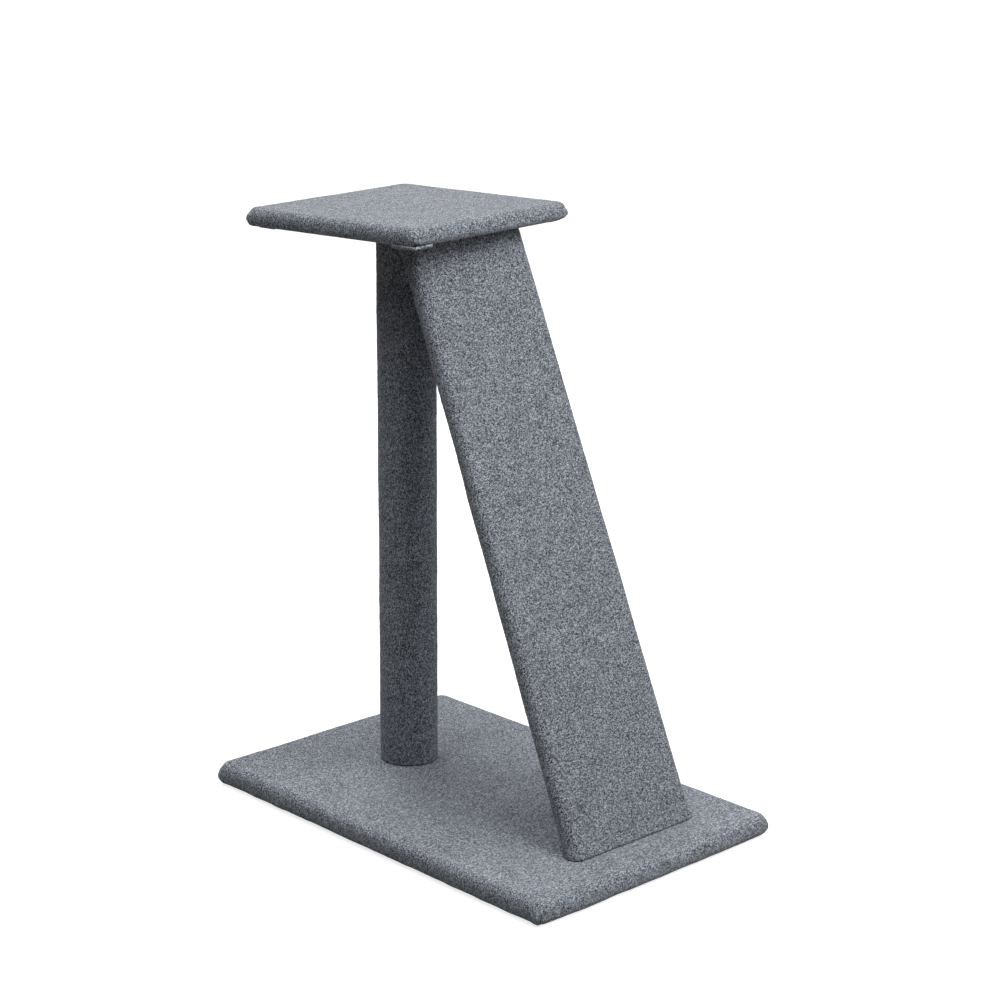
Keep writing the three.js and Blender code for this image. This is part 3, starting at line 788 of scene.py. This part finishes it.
def make_covers():
    """The four felt covers and the platform's flaps."""
    felt = make_felt("felt")
    # painted light: the base's paler copy of the felt
    painted_lit_felt = make_felt("painted_lit_felt", BASE_PAINTED_LIGHT)
    # painted light: a paler copy of the felt for the flaps
    painted_lit_flap_felt = make_felt("painted_lit_flap_felt", FLAP_PAINTED_LIGHT)
    base, cut = panel_cover(
        "felt_base_cover", "base_cover", BASE_CORNER, BASE_EDGE, BASE_HEM, BASE_SHARPNESS,
        BASE_STEP, BASE_SLIT_TOP, BASE_SEED, painted_lit_felt,
    )
    finish_cover(base, cut, "base_cover")
    platform, cut = panel_cover(
        "felt_platform_cover", "platform_cover", PLATFORM_CORNER, PLATFORM_EDGE, PLATFORM_HEM,
        PLATFORM_SHARPNESS, PLATFORM_STEP, PLATFORM_SLIT_TOP, PLATFORM_SEED, felt,
    )
    finish_cover(platform, cut, "platform_cover", make_flaps(painted_lit_flap_felt))
    ramp_cover, cut = make_ramp_cover(felt)
    finish_cover(ramp_cover, cut, "ramp_cover")
    post, cut = make_post_cover(felt)
    finish_cover(post, cut, "post_cover")


# ---- Studio ----

FLOOR_RADIUS = 40
FLOOR_GAP = 0.3 * MM  # how far it lies under the object, so that the two don't fight
FLOOR_NEAR = 0.2  # distances from the middle, for the two strengths of its painted glow
FLOOR_FAR = 2.0
FLOOR_PAINTED_GLOW = 0.77  # how strongly the floor glows with painted light, close to the object
FLOOR_PAINTED_GLOW_FAR = 1.1
FLOOR_COLOUR = 0.48  # how much of the studio's light it adds, so that it takes a soft shadow
FLOOR_BOUNCE = 0.32  # how much of that light it throws back at the object


def make_floor():
    """A pale floor that glows with painted light, least near the object and most far from it."""
    bpy.ops.mesh.primitive_circle_add(vertices=96, radius=FLOOR_RADIUS, fill_type="NGON")
    floor = bpy.context.object
    floor.location.z = -FLOOR_GAP
    floor.name = "floor"
    material, tree, shader = new_material("pale_floor")
    tree.nodes.remove(shader)
    output = tree.nodes["Material Output"]
    place = add(tree, "TexCoord").outputs["Object"]
    away = add(tree, "VectorMath", {0: place}, operation="LENGTH").outputs["Value"]
    inputs = {
        "Value": away,
        "From Min": FLOOR_NEAR,
        "From Max": FLOOR_FAR,
        "To Min": FLOOR_PAINTED_GLOW,
        "To Max": FLOOR_PAINTED_GLOW_FAR,
    }
    # painted light: the floor glows, more the further it is from the middle
    glow = add(tree, "MapRange", inputs)
    seen = add(tree, "BsdfDiffuse", {"Color": (*[FLOOR_COLOUR] * 3, 1)})
    shine = add(tree, "Emission", {"Strength": glow.outputs["Result"]})
    lit = add(tree, "AddShader", {0: seen.outputs[0], 1: shine.outputs[0]})
    bounced = add(tree, "BsdfDiffuse", {"Color": (*[FLOOR_BOUNCE] * 3, 1)})
    rays = add(tree, "LightPath").outputs["Is Camera Ray"]
    mixed = add(tree, "MixShader", {0: rays, 1: bounced.outputs[0], 2: lit.outputs[0]})
    tree.links.new(mixed.outputs[0], output.inputs["Surface"])
    floor.data.materials.append(material)
    floor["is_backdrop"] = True


BACKDROP = 1.05  # how bright the studio's walls look
WALL_LIGHT_LOW = 0.01  # how much light they throw, from below and from above
WALL_LIGHT_HIGH = 0.04


def make_world():
    """A white studio, which throws back a little of the softboxes' light."""
    world = bpy.data.worlds.new("studio")
    world.use_nodes = True
    bpy.context.scene.world = world
    tree = world.node_tree
    background = tree.nodes["Background"]
    direction = add(tree, "TexCoord").outputs["Generated"]
    height = add(tree, "SeparateXYZ", {0: direction}).outputs["Z"]
    light = ramp(tree, height, [(0, (WALL_LIGHT_LOW,) * 3), (1, (WALL_LIGHT_HIGH,) * 3)])
    rays = add(tree, "LightPath").outputs["Is Camera Ray"]
    colour = mix_colours(tree, rays, light, (*[BACKDROP] * 3, 1))
    tree.links.new(colour, background.inputs["Color"])


SOFTBOX_TARGET = Vector((0, 0, 0.3))
# Each softbox's place, width and power in watts.
SOFTBOXES = {
    "softbox_above_left": ((-1.2, 0.2, 2.6), 1.8, 21.5),
    "softbox_above_front": ((0.0, -1.6, 2.4), 1.8, 47),
    "softbox_above_back": ((0.2, 1.6, 2.4), 1.8, 22),
    "softbox_right_front": ((1.8, -1.6, 1.6), 1.6, 25),
    "softbox_behind": ((1.4, 2.2, 1.5), 1.6, 22),
}


def add_softbox(name, place, size, power):
    """A round softbox that faces the object."""
    light = bpy.data.lights.new(name, "AREA")
    light.shape = "DISK"
    light.size = size
    light.energy = power
    lamp = bpy.data.objects.new(name, light)
    lamp.location = place
    lamp.rotation_mode = "QUATERNION"
    lamp.rotation_quaternion = (SOFTBOX_TARGET - Vector(place)).to_track_quat("-Z", "Y")
    bpy.context.scene.collection.objects.link(lamp)


def make_camera():
    """The camera of the photograph, as solved from it."""
    camera = bpy.data.objects.new("camera", bpy.data.cameras.new("camera"))
    camera.data.lens = CAMERA_LENS
    camera.data.sensor_width = CAMERA_SENSOR
    heading = Matrix.Rotation(-CAMERA_HEADING, 4, "Z")
    tilt = Matrix.Rotation(math.pi / 2 - CAMERA_TILT, 4, "X")
    roll = Matrix.Rotation(CAMERA_ROLL, 4, "Z")
    camera.matrix_world = Matrix.Translation(CAMERA_PLACE) @ heading @ tilt @ roll
    bpy.context.scene.collection.objects.link(camera)
    bpy.context.scene.camera = camera


def make_studio():
    """The floor, the walls' light, the softboxes and the camera."""
    make_floor()
    make_world()
    for name, (place, size, power) in SOFTBOXES.items():
        add_softbox(name, place, size, power)
    make_camera()
    bpy.context.scene.view_settings.view_transform = "Standard"


make_studio()
make_covers()
dress_cad_nodes()

boxes = {"cad": cad_box, "visual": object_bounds()}
{key: [list(corner) for corner in box] for key, box in boxes.items()}
